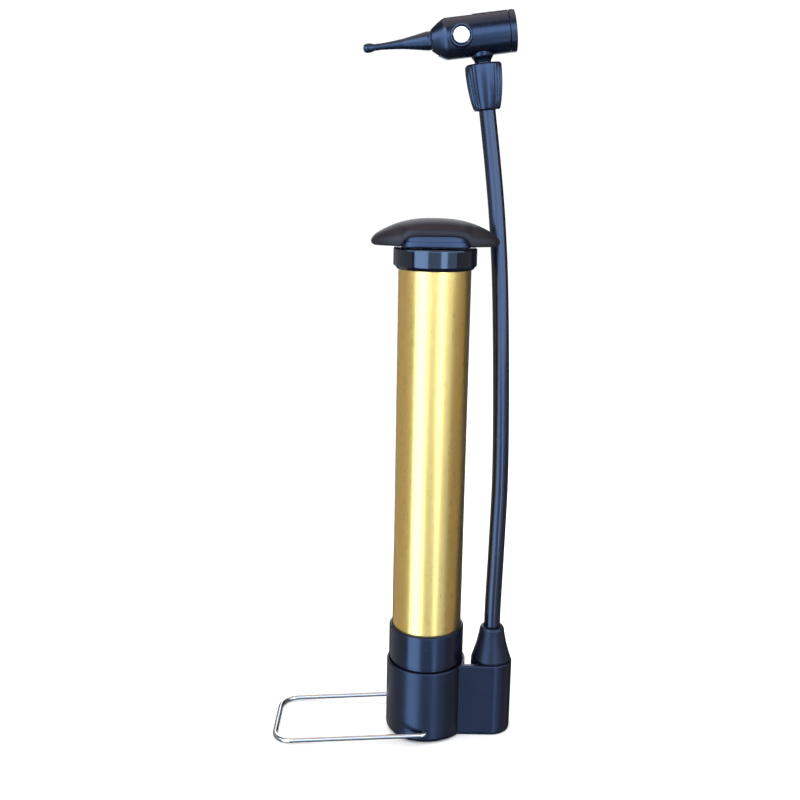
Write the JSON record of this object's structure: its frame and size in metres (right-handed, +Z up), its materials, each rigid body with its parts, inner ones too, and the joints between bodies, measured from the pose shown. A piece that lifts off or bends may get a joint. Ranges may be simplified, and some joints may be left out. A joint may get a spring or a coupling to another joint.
{
  "type": "foot air pump",
  "caption": "Small upright air pump: gold barrel on a moulded base with a fold-out wire stirrup, a plunger with an arched hand grip, and a short hose to a lever-lock tyre valve head.",
  "frame": {"origin": "middle of the base's underside, under the barrel's axis", "axes": "+Z up along the barrel and the plunger's stroke; +X towards the outlet boss and the hose; -X towards the foot stirrup; -Y is the front, where the barrel hides nothing and the hose leans away"},
  "size_m": [0.1226, 0.0637, 0.3599],
  "materials": {
    "barrel_gold": "gold anodised, satin, fine drawn lines along the tube",
    "black_plastic": "moulded, semi-gloss blue-black",
    "grip_plastic": "moulded, satin",
    "black_rubber": "matt moulded rubber",
    "hose_rubber": "smooth extruded rubber, low sheen",
    "seal_rubber": "matt",
    "chrome": "bright plated",
    "bright_steel": "ground",
    "brass": "turned",
    "nylon": "natural nylon"
  },
  "bodies": {
    "pump_body": {"barrel_tube": "barrel_gold", "top_cap": "black_plastic", "rod_bush": "nylon", "cap_seal": "seal_rubber", "bottom_collar": "black_plastic", "base_body": "black_plastic", "barrel_seal": "seal_rubber", "valve_seat": "brass", "check_spring": "bright_steel", "hose_barb": "brass", "barb_oring": "seal_rubber", "strain_relief": "black_rubber", "air_hose": "hose_rubber", "hose_ferrule": "black_plastic", "chuck_body": "black_plastic", "mouth_cap": "black_plastic", "chuck_grommet": "seal_rubber", "chuck_nipple": "brass", "pivot_pin": "chrome"},
    "plunger": {"handle_grip": "grip_plastic", "handle_insert": "brass", "piston_rod": "bright_steel", "return_bumper": "black_rubber", "piston_carrier": "nylon", "cup_seal": "black_rubber", "piston_washer": "bright_steel", "piston_nut": "bright_steel"},
    "lever": {"cam_lever": "black_plastic"},
    "pusher": {"chuck_pusher": "nylon", "pusher_oring": "seal_rubber", "depressor_pin": "brass"},
    "ball": {"check_ball": "bright_steel"},
    "stirrup": {"stirrup_wire": "chrome"}
  },
  "joints": [
    {"name": "plunger_slide", "type": "slide", "parent": "pump_body", "child": "plunger", "axis": [0, 0, 1], "range_m": [0, 0.195]},
    {"name": "stirrup_hinge", "type": "hinge", "parent": "pump_body", "child": "stirrup", "pos_m": [0, 0, 0.006], "axis": [0, 1, 0], "range_deg": [-19, 79]},
    {"name": "lever_hinge", "type": "hinge", "parent": "pump_body", "child": "lever", "pos_m": [0.01058, 0.03, 0.34666], "axis": [0, 1, 0], "range_deg": [0, 90]},
    {"name": "pusher_slide", "type": "slide", "parent": "pump_body", "child": "pusher", "axis": [0.9917, 0, 0.1288], "range_m": [0, 0.0013]},
    {"name": "ball_slide", "type": "slide", "parent": "pump_body", "child": "ball", "axis": [0, 0, 1], "range_m": [0, 0.0015], "stiffness_N_per_m": 20, "deforming": ["check_spring"]}
  ],
  "couplings": [
    {"joint": "pusher_slide", "follows": "lever_hinge", "m_per_rad": 0.00080851}
  ]
}
